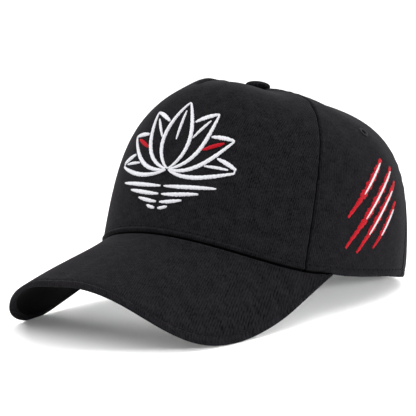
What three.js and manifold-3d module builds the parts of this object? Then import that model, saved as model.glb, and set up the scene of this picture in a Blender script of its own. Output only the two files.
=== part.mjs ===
// A five-panel baseball cap in black cotton twill. A wide stiffened front panel, two side panels and two
// back panels meet at a covered button. A bent visor is sewn under the front, a sweatband lines the rim,
// and a cloth strap with a plain slide clasp closes the arch at the back.
// Lengths are millimetres and angles degrees. +Z is up and the front faces -Y. An azimuth is measured
// round the crown from the front, positive towards +X, which is the wearer's left.
import * as THREE from "three";
import { mergeVertices } from "three/addons/utils/BufferGeometryUtils.js";
import Module from "manifold-3d";

// Driving dimensions
const GAP = 0.45; // between cloth pieces that are sewn together
const RIM = { halfWidth: 83, front: 100, rear: 103, squareness: 2.25 };
const CROWN = { height: 108, buttonY: -12.4, wall: 1.6, seamGroove: 0.5, topHole: 0.972 };

// The crown's section at four azimuths, as a cubic curve from the rim to the button. Widths are shares of
// the rim's radius and heights are shares of the crown's height.
//   rise      height of the first handle        lean   how far the first handle leans inwards
//   shoulder  width of the second handle        crest  how far the second handle rises above the button
const PROFILE = [
  { azimuth: 0, rise: 0.91, lean: 0.289, shoulder: 0.745, crest: 0.111 },
  { azimuth: 60, rise: 0.855, lean: -0.1, shoulder: 0.66, crest: -0.04 },
  { azimuth: 120, rise: 0.788, lean: -0.048, shoulder: 0.858, crest: -0.052 },
  { azimuth: 180, rise: 0.6, lean: 0.0, shoulder: 0.7, crest: -0.05 },
];

// Azimuth of each seam at the rim, and how it drifts on its way up to the button.
const SEAM = {
  front: { rim: 58.5, drift: 4.6, curve: 24 },
  side: { rim: 127, drift: 4, curve: 9 },
  back: { rim: 180, drift: 0, curve: 0 },
};
const RIDGE = { height: 3.6, halfAngle: 19, start: 0.45, full: 0.75, end: 0.93 }; // puff along the front seams
const CORNER = { azimuth: -38, up: 0.77, height: 5.3, halfAngle: 13, halfUp: 0.09 }; // stiff corner that stands up

const VISOR = {
  attach: 72, // azimuth where its ends leave the rim
  seam: 0.6, // between its top and the crown's lower edge
  rise: 13, // height of its middle above the rim plane
  bendRadius: 90,
  droop: 3, // extra drop of its sides, at droopAt from the middle
  droopAt: 80,
  pitch: 26.7,
  length: 61.6, // in plan, at the middle
  sideHandle: { x: 84, back: 113 }, // handles of the outline's curve, from its end and at its tip
  tipHandle: 80,
  board: 3.2, // thickness of covered board
  bead: 4.3, // thickness at the outer edge, where the cloth is turned in
  endThickness: 1.6,
  endTaper: 0.1, // share of the visor's span over which each end thins
  edgeRound: 1.2,
};
const SWEATBAND = { reach: 148, height: 32, thickness: 1.0 };
const ARCH = { halfWidth: 38, height: 46 };
const STRAP = { reach: 26, bottom: 4.5, height: 19, thickness: 1.8 };
const CLASP = { reach: 5.5, plate: 1.0, slack: 0.3, margin: 1.3 };
const BUTTON = { lean: 6.5, shankRadius: 2.2, shankLength: 5 };
const EYELET = { hole: 1.9, ring: 4.1, thickness: 1.0 };
const EYELETS = {
  side: { azimuth: 97, up: 0.51 },
  back: { azimuth: 157, up: 0.54 },
};
const FLAT_DEPTH = 0.35; // how far the cloth is pressed flat where it rests

const wasm = await Module();
wasm.setup();

const radians = THREE.MathUtils.degToRad;
const ramp = (x, low, high) => THREE.MathUtils.smoothstep(x, low, high);
const vector = (x, y, z) => new THREE.Vector3(x, y, z);

// The rim in plan, inset towards the middle of the cap.
function rimPoint(azimuth, inset = 0) {
  const side = Math.sin(azimuth);
  const ahead = Math.cos(azimuth);
  const reach = ahead > 0 ? RIM.front : RIM.rear;
  const n = RIM.squareness;
  const radius = (Math.abs(side / RIM.halfWidth) ** n + Math.abs(ahead / reach) ** n) ** (-1 / n);
  const point = vector(radius * side, -radius * ahead, 0);
  if (!inset) return point;
  const step = 0.002;
  const along = rimPoint(azimuth + step).sub(rimPoint(azimuth - step)).normalize();
  return point.add(vector(-along.y, along.x, 0).multiplyScalar(inset));
}

const azimuthOf = (x, y) => Math.atan2(x, -y);

// The visor's top as a bent and pitched sheet, before its ends are drawn in to the rim.
function visorSheet(x, y) {
  const bend = VISOR.bendRadius - Math.sqrt(VISOR.bendRadius ** 2 - x * x);
  const droop = VISOR.droop * (x / VISOR.droopAt) ** 4;
  return VISOR.rise - bend - droop + Math.tan(radians(VISOR.pitch)) * (y + RIM.front);
}

const rimEnd = rimPoint(radians(VISOR.attach));
const endHeight = visorSheet(rimEnd.x, rimEnd.y) + VISOR.seam;

function visorTop(x, y) {
  const towardsEnd = Math.abs(azimuthOf(x, y)) / radians(VISOR.attach);
  return visorSheet(x, y) - endHeight * ramp(towardsEnd, 0, 1);
}

// Height of the crown's lower edge: it sits on the visor in front, and is level behind it.
function crownBase(azimuth) {
  const rim = rimPoint(azimuth);
  return Math.abs(azimuth) < radians(VISOR.attach) ? visorTop(rim.x, rim.y) + VISOR.seam : 0;
}

// A value of the profile table at any azimuth: the even cosine series through its four rows.
function profileValue(name, azimuth) {
  const [a, b, c, d] = PROFILE.map((row) => row[name]);
  return (
    (a + 2 * b + 2 * c + d) / 6 +
    ((a + b - c - d) / 3) * Math.cos(azimuth) +
    ((a - b - c + d) / 3) * Math.cos(2 * azimuth) +
    ((a - 2 * b + 2 * c - d) / 6) * Math.cos(3 * azimuth)
  );
}

const seamAzimuth = (seam, up) => radians(seam.rim + seam.drift * up + seam.curve * up * up);

// A point of the crown's outer surface. "up" runs from 0 at the rim to 1 at the button.
function crownOuter(azimuth, up) {
  const rim = rimPoint(azimuth);
  const base = crownBase(azimuth);
  const down = 1 - up;
  const start = down ** 3;
  const first = 3 * down * down * up;
  const second = 3 * down * up * up;
  const wide =
    start + first * (1 - profileValue("lean", azimuth)) + second * profileValue("shoulder", azimuth);
  const high =
    first * profileValue("rise", azimuth) + second * (1 + profileValue("crest", azimuth)) + up ** 3;
  const offSeam = (Math.abs(azimuth) - seamAzimuth(SEAM.front, up)) / radians(RIDGE.halfAngle);
  const nearShoulder = ramp(up, RIDGE.start, RIDGE.full) * ramp(1 - up, 0, 1 - RIDGE.end);
  const ridge = RIDGE.height * Math.exp(-offSeam * offSeam) * nearShoulder;
  const offCorner = (azimuth - radians(CORNER.azimuth)) / radians(CORNER.halfAngle);
  const corner = CORNER.height * Math.exp(-offCorner * offCorner - ((up - CORNER.up) / CORNER.halfUp) ** 2);
  return vector(
    rim.x * wide,
    CROWN.buttonY + (rim.y - CROWN.buttonY) * wide,
    base + (CROWN.height - base) * high + ridge + corner,
  );
}

function crownNormal(azimuth, up) {
  const step = 0.003;
  const across = crownOuter(azimuth + step, up).sub(crownOuter(azimuth - step, up));
  const climb = crownOuter(azimuth, Math.min(up + step, 1)).sub(crownOuter(azimuth, Math.max(up - step, 0)));
  return across.cross(climb).normalize();
}

// A point under the crown's outer surface. At the lower edge it stays on the seam or the rim plane.
function crownInside(azimuth, up, depth) {
  const point = crownOuter(azimuth, up).addScaledVector(crownNormal(azimuth, up), -depth);
  if (up === 0) point.z = crownBase(azimuth);
  return point;
}

// How far up the crown's section a height above its lower edge lies.
function upAtHeight(azimuth, height) {
  const base = crownOuter(azimuth, 0).z;
  let low = 0;
  let high = 0.6;
  for (let turn = 0; turn < 30; turn++) {
    const middle = (low + high) / 2;
    if (crownOuter(azimuth, middle).z - base < height) low = middle;
    else high = middle;
  }
  return low;
}

const mix = (a, b, share) => a + (b - a) * share;
const steps = (count) => Array.from({ length: count + 1 }, (_, i) => i / count);

// A closed wall between two grids of points. Its front faces along u cross v.
function slab(us, vs, front, back) {
  const positions = [];
  for (const face of [front, back]) {
    for (const v of vs) {
      for (const u of us) positions.push(...face(u, v).toArray());
    }
  }
  const columns = us.length;
  const rows = vs.length;
  const at = (i, j, side) => (side * rows + j) * columns + i;
  const index = [];
  const quad = (a, b, c, d) => index.push(a, b, c, a, c, d);
  for (let j = 0; j < rows - 1; j++) {
    for (let i = 0; i < columns - 1; i++) {
      quad(at(i, j, 0), at(i + 1, j, 0), at(i + 1, j + 1, 0), at(i, j + 1, 0));
      quad(at(i, j, 1), at(i, j + 1, 1), at(i + 1, j + 1, 1), at(i + 1, j, 1));
    }
  }
  for (let i = 0; i < columns - 1; i++) {
    quad(at(i, 0, 1), at(i + 1, 0, 1), at(i + 1, 0, 0), at(i, 0, 0));
    quad(at(i, rows - 1, 0), at(i + 1, rows - 1, 0), at(i + 1, rows - 1, 1), at(i, rows - 1, 1));
  }
  for (let j = 0; j < rows - 1; j++) {
    quad(at(0, j, 1), at(0, j, 0), at(0, j + 1, 0), at(0, j + 1, 1));
    quad(at(columns - 1, j, 0), at(columns - 1, j, 1), at(columns - 1, j + 1, 1), at(columns - 1, j + 1, 0));
  }
  const geometry = new THREE.BufferGeometry();
  geometry.setAttribute("position", new THREE.Float32BufferAttribute(positions, 3));
  geometry.setIndex(index);
  return geometry;
}

function toSolid(geometry) {
  const plain = geometry.clone();
  plain.deleteAttribute("normal");
  plain.deleteAttribute("uv");
  const merged = mergeVertices(plain, 1e-4);
  return new wasm.Manifold(
    new wasm.Mesh({
      numProp: 3,
      vertProperties: new Float32Array(merged.attributes.position.array),
      triVerts: new Uint32Array(merged.index.array),
    }),
  );
}

function toGeometry(solid) {
  const mesh = solid.getMesh();
  const geometry = new THREE.BufferGeometry();
  geometry.setAttribute("position", new THREE.Float32BufferAttribute(mesh.vertProperties, 3));
  geometry.setIndex(new THREE.Uint32BufferAttribute(mesh.triVerts, 1));
  return geometry;
}

// Crown panels
const seamEdge = 0.03; // share of a panel's width that rolls down into each seam

// The panel between two seams, each a function of "up" that gives an azimuth, cut back by half a gap.
function panel(startSeam, endSeam, columns, rows) {
  const us = [0, ...steps(columns - 2).map((u) => mix(seamEdge, 1 - seamEdge, u)), 1];
  const vs = steps(rows).map((v) => v * CROWN.topHole);
  const azimuthAt = (u, up) => {
    const trim = GAP / 2 / Math.hypot(...crownOuter(startSeam(up), up).toArray().slice(0, 2));
    return mix(startSeam(up) + trim, endSeam(up) - trim, u);
  };
  const groove = (u) => (u === 0 || u === 1 ? CROWN.seamGroove : 0);
  return slab(
    us,
    vs,
    (u, up) => crownInside(azimuthAt(u, up), up, groove(u)),
    (u, up) => crownInside(azimuthAt(u, up), up, CROWN.wall),
  );
}

function archCutter() {
  const outline = new THREE.Shape();
  outline.absellipse(0, 0, ARCH.halfWidth, ARCH.height, 0, Math.PI, false);
  outline.lineTo(-ARCH.halfWidth, -10);
  outline.lineTo(ARCH.halfWidth, -10);
  const cutter = new THREE.ExtrudeGeometry(outline, { depth: RIM.rear, bevelEnabled: false, curveSegments: 28 });
  return toSolid(cutter.rotateX(Math.PI / 2).translate(0, 1.3 * RIM.rear, 0));
}

// Stands a shape made along +Z on the crown, facing out, and makes it a solid.
function onCrown(geometry, place) {
  const azimuth = radians(place.azimuth);
  const turn = new THREE.Quaternion().setFromUnitVectors(vector(0, 0, 1), crownNormal(azimuth, place.up));
  return toSolid(geometry.applyQuaternion(turn).translate(...crownOuter(azimuth, place.up).toArray()));
}

function eyeletDrill(place) {
  const drill = new THREE.CylinderGeometry(EYELET.hole, EYELET.hole, 12, 12).rotateX(Math.PI / 2);
  return onCrown(drill, place);
}

function eyeletRing(place) {
  const { hole, ring, thickness } = EYELET;
  const lift = GAP;
  const section = [
    [hole, lift],
    [ring, lift],
    [ring, lift + 0.4 * thickness],
    [mix(hole, ring, 0.6), lift + thickness],
    [hole + 0.2, lift + 0.8 * thickness],
    [hole, lift],
  ].map(([x, y]) => new THREE.Vector2(x, y));
  return onCrown(new THREE.LatheGeometry(section, 14).rotateX(Math.PI / 2), place);
}

// Visor
// Half of its outline in plan is one curve from its end, just outside the rim, to its tip.
const outlineEnd = rimPoint(radians(VISOR.attach), -0.8);
const halfOutline = new THREE.CubicBezierCurve(
  new THREE.Vector2(outlineEnd.x, outlineEnd.y),
  new THREE.Vector2(VISOR.sideHandle.x, outlineEnd.y - VISOR.sideHandle.back),
  new THREE.Vector2(VISOR.tipHandle, -RIM.front - VISOR.length),
  new THREE.Vector2(0, -RIM.front - VISOR.length),
);

function visorOutline(u) {
  const point = halfOutline.getPointAt(1 - Math.abs(1 - 2 * u));
  return vector(u < 0.5 ? point.x : -point.x, point.y, 0);
}

// Rows run from the rim, 0, to the outer edge, 1. The first row is tucked level under the crown's wall.
function visorShape() {
  const tuck = -1;
  const beadStart = 0.9;
  const roundStart = 0.98;
  const sheetPoint = (u, v) => {
    const azimuth = radians(VISOR.attach) * (1 - 2 * u);
    const rim = rimPoint(azimuth);
    const point = rim.clone().lerp(visorOutline(u), Math.max(v, 0));
    point.z = visorTop(point.x, point.y);
    if (v !== tuck) return point;
    const inner = rimPoint(azimuth, CROWN.wall);
    return vector(inner.x, inner.y, point.z);
  };
  const thickness = (u, v) => {
    const full = mix(VISOR.board, VISOR.bead, ramp(v, beadStart, roundStart));
    return mix(VISOR.endThickness, full, ramp(Math.min(u, 1 - u), 0, VISOR.endTaper));
  };
  const rounding = (u, v) => (v === 1 ? (VISOR.edgeRound * thickness(u, v)) / VISOR.bead : 0);
  return slab(
    steps(44),
    [tuck, 0, 0.2, 0.4, 0.6, 0.8, beadStart, roundStart, 1],
    (u, v) => sheetPoint(u, v).sub(vector(0, 0, rounding(u, v))),
    (u, v) => sheetPoint(u, v).sub(vector(0, 0, thickness(u, v) - rounding(u, v))),
  );
}

// Pieces that follow the crown's inside at a height above the rim
function bandAt(azimuth, height, depth) {
  return crownInside(azimuth, upAtHeight(azimuth, height), depth);
}

function bandSlab(start, end, columns, bottom, top, outerDepth, innerDepth) {
  const azimuthAt = (u) => radians(mix(start, end, u));
  return slab(
    steps(columns),
    [0, 0.5, 1],
    (u, v) => bandAt(azimuthAt(u), mix(bottom, top, v), outerDepth),
    (u, v) => bandAt(azimuthAt(u), mix(bottom, top, v), innerDepth),
  );
}

const liningDepth = CROWN.wall + GAP;

function sweatbandShape() {
  const { reach, height, thickness } = SWEATBAND;
  return bandSlab(-reach, reach, 56, 0.5, height, liningDepth, liningDepth + thickness);
}

function strapShape() {
  const { reach, bottom, height, thickness } = STRAP;
  return bandSlab(180 - reach, 180 + reach, 14, bottom, bottom + height, liningDepth, liningDepth + thickness);
}

// The clasp is a flat metal sleeve round the strap.
function claspShape() {
  const { bottom, height, thickness } = STRAP;
  const { reach, plate, slack, margin } = CLASP;
  const sleeve = (grow, extra) =>
    toSolid(
      bandSlab(
        180 - reach - extra,
        180 + reach + extra,
        6,
        bottom - grow - slack,
        bottom + height + grow + slack,
        liningDepth - grow - slack,
        liningDepth + thickness + grow + slack,
      ),
    );
  return toGeometry(sleeve(plate, 0).subtract(sleeve(0, margin)));
}

// The covered button, with the shank that holds it in the hole where the panels meet.
function buttonShape() {
  const { shankRadius, shankLength } = BUTTON;
  const section = [
    [0, -shankLength],
    [shankRadius, -shankLength],
    [shankRadius, 0.3],
    [6.9, 0],
    [7.5, 0.9],
    [7.1, 2.3],
    [5.4, 3.6],
    [2.9, 4.4],
    [0, 4.7],
  ].map(([x, y]) => new THREE.Vector2(x, y));
  return new THREE.LatheGeometry(section, 20).rotateX(Math.PI / 2);
}

// How high the button sits, so that its underside clears the crown all round.
function buttonSeat() {
  const radius = 7.5;
  const lean = Math.tan(radians(BUTTON.lean));
  let highest = -Infinity;
  for (const azimuth of steps(36).map((share) => share * 2 * Math.PI - Math.PI)) {
    for (const up of steps(20).map((share) => mix(0.94, 1, share))) {
      const point = crownOuter(azimuth, up);
      const y = point.y - CROWN.buttonY;
      if (Math.hypot(point.x, y) < radius) highest = Math.max(highest, point.z - CROWN.height + y * lean);
    }
  }
  return CROWN.height + highest + GAP;
}

// Materials
const twill = new THREE.MeshStandardMaterial({ color: 0x1b1a1d, roughness: 0.92 });
const lining = new THREE.MeshStandardMaterial({ color: 0x161517, roughness: 0.95 });
const steel = new THREE.MeshStandardMaterial({ color: 0x6d6a66, roughness: 0.35, metalness: 1 });
const thread = new THREE.MeshStandardMaterial({ color: 0x232226, roughness: 0.7 });

// Assembly in the cap's own frame, with the rim plane at z = 0
const cap = new THREE.Group();

function add(name, geometry, material) {
  const mesh = new THREE.Mesh(geometry, material);
  mesh.name = name;
  cap.add(mesh);
  return mesh;
}

// Adds a left piece and its mirror image on the right.
function addPair(name, leftSolid, material) {
  add(`${name}_left`, toGeometry(leftSolid), material);
  add(`${name}_right`, toGeometry(leftSolid.mirror([1, 0, 0])), material);
}

const frontPanel = panel((up) => -seamAzimuth(SEAM.front, up), (up) => seamAzimuth(SEAM.front, up), 28, 17);
const sidePanel = panel((up) => seamAzimuth(SEAM.front, up), (up) => seamAzimuth(SEAM.side, up), 18, 17);
const backPanel = panel((up) => seamAzimuth(SEAM.side, up), (up) => seamAzimuth(SEAM.back, up), 12, 17);

add("front_panel", frontPanel, twill);
addPair("side_panel", toSolid(sidePanel).subtract(eyeletDrill(EYELETS.side)), twill);
addPair("back_panel", toSolid(backPanel).subtract(eyeletDrill(EYELETS.back)).subtract(archCutter()), twill);
addPair("eyelet_side", eyeletRing(EYELETS.side), thread);
addPair("eyelet_back", eyeletRing(EYELETS.back), thread);
add("visor", visorShape(), twill);
add("sweatband", sweatbandShape(), lining);
add("back_strap", strapShape(), twill);
add("strap_clasp", claspShape(), steel);
const button = add("top_button", buttonShape(), twill);
button.position.set(0, CROWN.buttonY, buttonSeat());
button.rotation.x = -radians(BUTTON.lean);

// The cap leans back until its visor and the rear of its rim both meet the floor.
function lowest(mesh, tilt) {
  const positions = mesh.geometry.getAttribute("position");
  let low = Infinity;
  for (let i = 0; i < positions.count; i++) {
    low = Math.min(low, positions.getZ(i) * Math.cos(tilt) + positions.getY(i) * Math.sin(tilt));
  }
  return low;
}

const [visorMesh, rearMesh] = ["visor", "back_panel_left"].map((name) => cap.getObjectByName(name));
let steep = -Math.PI / 8;
let level = 0;
for (let turn = 0; turn < 40; turn++) {
  const middle = (steep + level) / 2;
  if (lowest(visorMesh, middle) > lowest(rearMesh, middle)) steep = middle;
  else level = middle;
}
cap.rotation.x = level;
cap.position.z = -lowest(visorMesh, level) - FLAT_DEPTH;
cap.updateMatrixWorld(true);

// The floor, seen from the cap, presses its lowest cloth flat.
const floor = new THREE.BoxGeometry(400, 500, 20).translate(0, 0, -10);
const floorSolid = toSolid(floor.applyMatrix4(cap.matrixWorld.clone().invert()));
for (const name of ["visor", "back_panel_left", "back_panel_right"]) {
  const mesh = cap.getObjectByName(name);
  mesh.geometry = toGeometry(toSolid(mesh.geometry).subtract(floorSolid));
}

// The part's origin is the middle of its base.
const part = new THREE.Group();
part.add(cap);
const middle = new THREE.Box3().setFromObject(part, true).getCenter(vector(0, 0, 0));
cap.position.y -= middle.y;

export default part;
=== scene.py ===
# A black cotton twill baseball cap rests on a white floor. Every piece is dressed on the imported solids.
# Lengths are metres, those of the cap written as millimetres times mm. Angles in tables are degrees.
# An azimuth is measured round the crown from the front, positive towards the wearer's left, +X.
import math

import bpy
import numpy as np
from mathutils import Matrix, Vector
from mathutils.bvhtree import BVHTree


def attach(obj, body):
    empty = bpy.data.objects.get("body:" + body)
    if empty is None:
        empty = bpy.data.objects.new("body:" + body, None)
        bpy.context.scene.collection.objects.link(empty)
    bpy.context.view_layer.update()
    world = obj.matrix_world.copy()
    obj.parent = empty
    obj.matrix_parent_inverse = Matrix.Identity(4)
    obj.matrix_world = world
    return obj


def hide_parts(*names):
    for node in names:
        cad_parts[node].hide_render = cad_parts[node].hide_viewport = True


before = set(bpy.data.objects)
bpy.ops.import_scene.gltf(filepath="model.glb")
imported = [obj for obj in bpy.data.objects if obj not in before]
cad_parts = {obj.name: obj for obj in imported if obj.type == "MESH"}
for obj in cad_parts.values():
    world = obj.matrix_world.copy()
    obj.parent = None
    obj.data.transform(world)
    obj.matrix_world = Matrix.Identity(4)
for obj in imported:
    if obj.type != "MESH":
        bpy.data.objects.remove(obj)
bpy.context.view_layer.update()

# View
# The photograph looks at the cap from its left front, a little above the visor, through a long lens.
mm = 0.001
view = {"azimuth": 41.0, "elevation": 8.13, "roll": -2.76, "distance": 1145 * mm}
view_aim = Vector((-8.1 * mm, -2.5 * mm, 60 * mm))
lens_in_pixels = 1861
frame_in_pixels = 416
sensor_width = 36


def look_from(thing, aim, azimuth, elevation, distance, roll=0.0):
    """Sets a camera or lamp at that azimuth and elevation round aim, looking at it."""
    turn = Matrix.Rotation(math.radians(azimuth), 4, "Z")
    tip = Matrix.Rotation(math.radians(90 - elevation), 4, "X")
    turn = turn @ tip @ Matrix.Rotation(math.radians(roll), 4, "Z")
    back = turn.to_3x3() @ Vector((0, 0, 1))
    thing.matrix_world = Matrix.Translation(aim + back * distance) @ turn


def into_scene(name, data):
    thing = bpy.data.objects.new(name, data)
    bpy.context.scene.collection.objects.link(thing)
    return thing


camera_data = bpy.data.cameras.new("camera")
camera_data.sensor_width = sensor_width
camera_data.lens = sensor_width * lens_in_pixels / frame_in_pixels
camera = into_scene("camera", camera_data)
look_from(camera, view_aim, **view)
bpy.context.scene.camera = camera

# Floor and light
# A white studio sweep lit from all round, with broad soft lamps high on the left, overhead and behind. Two
# low lamps light the floor alone: they shine in under the cap and keep its soft shadow pale and close.
floor_half = 6.0
floor_white = "#f4f4f4"
floor_glow = 0.06  # the sweep is lit from below a little too
sky = {"horizon": 0.9, "overhead": 1.5}
lamps = [
    {"name": "left_softbox", "azimuth": -30, "elevation": 45, "distance": 1.9, "size": 1.6, "watts": 6},
    {"name": "top_softbox", "azimuth": 175, "elevation": 66, "distance": 1.7, "size": 2.4, "watts": 9},
    {"name": "rear_softbox", "azimuth": 163, "elevation": 32, "distance": 1.6, "size": 1.8, "watts": 5},
    {"name": "floor_left", "azimuth": 110, "elevation": 5, "distance": 1.8, "size": 0.35, "watts": 4.4},
    {"name": "floor_right", "azimuth": 240, "elevation": 6, "distance": 1.8, "size": 0.35, "watts": 1.4},
]
floor_beam = 36
lamp_aim = Vector((0, 0, 60 * mm))


def linear(hex_colour):
    """An sRGB hex colour as the linear RGBA that shaders take."""
    shares = [int(hex_colour[i : i + 2], 16) / 255 for i in (1, 3, 5)]
    return [c / 12.92 if c <= 0.04045 else ((c + 0.055) / 1.055) ** 2.4 for c in shares] + [1.0]


def new_material(name):
    """An empty node material with its principled shader, wired to the output."""
    material = bpy.data.materials.new(name)
    material.use_nodes = True
    tree = material.node_tree
    tree.nodes.clear()
    shader = tree.nodes.new("ShaderNodeBsdfPrincipled")
    output = tree.nodes.new("ShaderNodeOutputMaterial")
    tree.links.new(shader.outputs["BSDF"], output.inputs["Surface"])
    return material, tree, shader


def feed(tree, fed, inputs):
    """Sets a node's inputs. Each is a plain value, or an output socket to link to."""
    for key, value in inputs.items():
        if isinstance(value, bpy.types.NodeSocket):
            tree.links.new(value, fed.inputs[key])
        else:
            fed.inputs[key].default_value = value


def node(tree, kind, inputs=(), output=0, **settings):
    """Adds a shader node with its inputs and settings, and gives one of its outputs."""
    made = tree.nodes.new("ShaderNode" + kind)
    for key, value in settings.items():
        setattr(made, key, value)
    feed(tree, made, dict(inputs))
    return made.outputs[output]


world = bpy.data.worlds.new("studio")
world.use_nodes = True
tree = world.node_tree
direction = node(tree, "TexCoord", output="Generated")
climb = node(tree, "SeparateXYZ", {"Vector": direction}, "Z")
strength = node(tree, "MapRange", {"Value": climb, "To Min": sky["horizon"], "To Max": sky["overhead"]})
feed(tree, tree.nodes["Background"], {"Color": linear("#ffffff"), "Strength": strength})
bpy.context.scene.world = world
bpy.context.scene.view_settings.view_transform = "Standard"

floor_mesh = bpy.data.meshes.new("floor")
corners = [(-1, -1), (1, -1), (1, 1), (-1, 1)]
floor_mesh.from_pydata([(x * floor_half, y * floor_half, 0) for x, y in corners], [], [(0, 1, 2, 3)])
floor = into_scene("floor", floor_mesh)
floor_alone = bpy.data.collections.new("floor_alone")
floor_alone.objects.link(floor)
for row in lamps:
    lamp_data = bpy.data.lights.new(row["name"], "AREA")
    lamp_data.shape = "DISK"
    lamp_data.size = row["size"]
    lamp_data.energy = row["watts"]
    lamp = into_scene(row["name"], lamp_data)
    look_from(lamp, lamp_aim, row["azimuth"], row["elevation"], row["distance"])
    if row["name"].startswith("floor"):
        lamp_data.spread = math.radians(floor_beam)
        lamp.light_linking.receiver_collection = floor_alone

# Painted board: matt white, with a roughness that varies a little from place to place
sweep, tree, shader = new_material("white_sweep")
speckle = node(tree, "TexNoise", {"Scale": 1 / (25 * mm), "Detail": 3.0})
roughness = node(tree, "MapRange", {"Value": speckle, "To Min": 0.75, "To Max": 0.9})
feed(tree, shader, {"Base Color": linear(floor_white), "Roughness": roughness, "Specular IOR Level": 0.1})
feed(tree, shader, {"Emission Color": linear("#ffffff"), "Emission Strength": floor_glow})
floor_mesh.materials.append(sweep)

# Crown
# Five panels of black cotton twill, the wide front one fused to a stiff backing and the others soft. They
# are sewn edge to edge, turned in at the rim, and sewn down on the visor in front. Eyelet holes are punched
# in the side and back panels, and the back panels are cut to an arch.
rim = {"half_width": 83.8 * mm, "front": 100.8 * mm, "rear": 104 * mm, "squareness": 2.25}
crown_height = 108.6 * mm
crown_reach = 0.986  # how far up the panels are made: the rest is under the button
button_y = -12.4 * mm
profile = [  # the crown's section at azimuths 0, 60, 120 and 180
    {"rise": 0.905, "lean": 0.289, "shoulder": 0.745, "crest": 0.092},
    {"rise": 0.855, "lean": -0.1, "shoulder": 0.66, "crest": -0.04},
    {"rise": 0.782, "lean": -0.048, "shoulder": 0.858, "crest": -0.052},
    {"rise": 0.6, "lean": 0.0, "shoulder": 0.7, "crest": -0.05},
]
seams = {
    "front": {"rim": 58.5, "drift": 4.6, "curve": 24},
    "side": {"rim": 127, "drift": 4, "curve": 9},
    "back": {"rim": 180, "drift": 0, "curve": 0},
}
ridge = {"height": 3.6 * mm, "half_angle": 19, "start": 0.45, "full": 0.75, "end": 0.93}
corner = {"azimuth": -31, "up": 0.8, "height": 4.8 * mm, "half_angle": 16, "half_up": 0.115}
fold = {  # the far edge of the stiff front panel, where the soft top sinks in beside it
    "up": (0.684, 0.723, 0.759, 0.793, 0.825, 0.845, 0.87),
    "azimuth": (-10.0, -11.0, -12.6, -14.5, -17.4, -19.2, -21.5),
    "depth": 2.6 * mm,
    "near_reach": 0.7 * mm,
    "far_reach": 5.0 * mm,
    # how much shade is painted into the fold's colour at its deepest
    "shade": 0.75,
    "shade_from": 0.15,  # the share of its depth from which the cloth takes the sheenless copy, as painted shade
    "start": (0.645, 0.72),
    "end": (0.82, 0.87),
}
visor = {
    "seam": 0.6 * mm,
    "rise": 13 * mm,
    "bend_radius": 90 * mm,
    "droop": 3 * mm,
    "droop_at": 80 * mm,
    "pitch": 27.15,
    "far_lift": {"height": 2.97 * mm, "start": (10, 40), "end": (52, 78), "ahead": (90, 148)},
    "near_fall": {"middle": 110 * mm, "span": 50 * mm, "powers": (1.2 * mm, 0.47 * mm, -0.29 * mm)},
    "far_fall": {"all": -1.86 * mm, "most": 4.4 * mm, "middle": 112 * mm, "reach": 28 * mm},
    "fall_start": 12 * mm,
}
visor_attach = math.radians(72)  # the azimuth of the visor's ends
rest = {"tilt": 12.287, "rise": 19.79 * mm, "back": 29.55 * mm}  # how the cap leans back on the floor
panels = [
    {"name": "front_panel", "from": ("front", -1), "to": ("front", 1), "columns": 190, "soft": 0.3},
    {"name": "side_panel_left", "from": ("front", 1), "to": ("side", 1), "columns": 110, "soft": 1.0},
    {"name": "side_panel_right", "from": ("side", -1), "to": ("front", -1), "columns": 110, "soft": 1.0},
    {"name": "back_panel_left", "from": ("side", 1), "to": ("back", 1), "columns": 90, "soft": 1.0},
    {"name": "back_panel_right", "from": ("back", -1), "to": ("side", -1), "columns": 90, "soft": 1.0},
]
panel_rows = 130
row_crowding = 1.35  # over 1, the rows lie closer near the rim
wall = 1.5 * mm
thinnest = 0.4 * mm
edge_dip = 0.3 * mm
soft_swell = {"height": 0.55 * mm, "reach": 12 * mm}
pucker = {"height": 0.18 * mm, "reach": 5 * mm, "pitch": 1.6 * mm, "waver": 90}
seam_groove = {"depth": 1.6 * mm, "reach": 0.8 * mm}
visor_tuck = {"depth": 2.6 * mm, "reach": 1.0 * mm, "end": 73, "fade": 0.06}
visor_lip = {"height": 2.4 * mm, "swell": 0.8 * mm, "reach": 1.3 * mm}
seam_shade_width = 0.6 * mm  # how far from a seam, and up from the visor seam, the cloth is painted in shade
rim_roll = {"depth": 0.6 * mm, "reach": 0.8 * mm}
hem_line = {"height": 4.2 * mm, "depth": 0.3 * mm, "reach": 1.2 * mm}
hem_hang = {  # how far the hem hangs above or below level at those azimuths, in millimetres
    "azimuth": (66, 72, 80, 90, 100, 108, 114, 118, 122, 127, 135, 142, 150, 160, 170),
    "height": (0.0, -0.9, -1.3, -0.9, -0.1, 0.5, 1.0, 1.3, 1.8, 1.7, 1.2, 0.9, 0.5, 0.2, 0.0),
    "fade": 22 * mm,
}
arch = {"half_width": 38 * mm, "height": 46 * mm, "share": 0.55}
eyelet_hole = 1.5 * mm
punch_sides = 24
eyelets = [
    {"name": "eyelet_side_left", "azimuth": 97, "up": 0.51},
    {"name": "eyelet_side_right", "azimuth": -97, "up": 0.51},
    {"name": "eyelet_back_left", "azimuth": 157, "up": 0.54},
    {"name": "eyelet_back_right", "azimuth": -157, "up": 0.54},
]
twill_pitch = 1.3 * mm  # a real rib is a third of this, and too fine to show
streak = {"wide": 0.8 * mm, "long": 2.0 * mm}
lint_size = 1.11 * mm
mottle_size = 6.67 * mm
smooth_below = 50  # a mesh's edges that bend more than this stay sharp


def smooth(value, low, high):
    """0 up to low, 1 from high on, and eased between them."""
    share = np.clip((value - low) / (high - low), 0, 1)
    return share * share * (3 - 2 * share)


def bell(distance, reach):
    return np.exp(-((distance / reach) ** 2))


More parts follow.
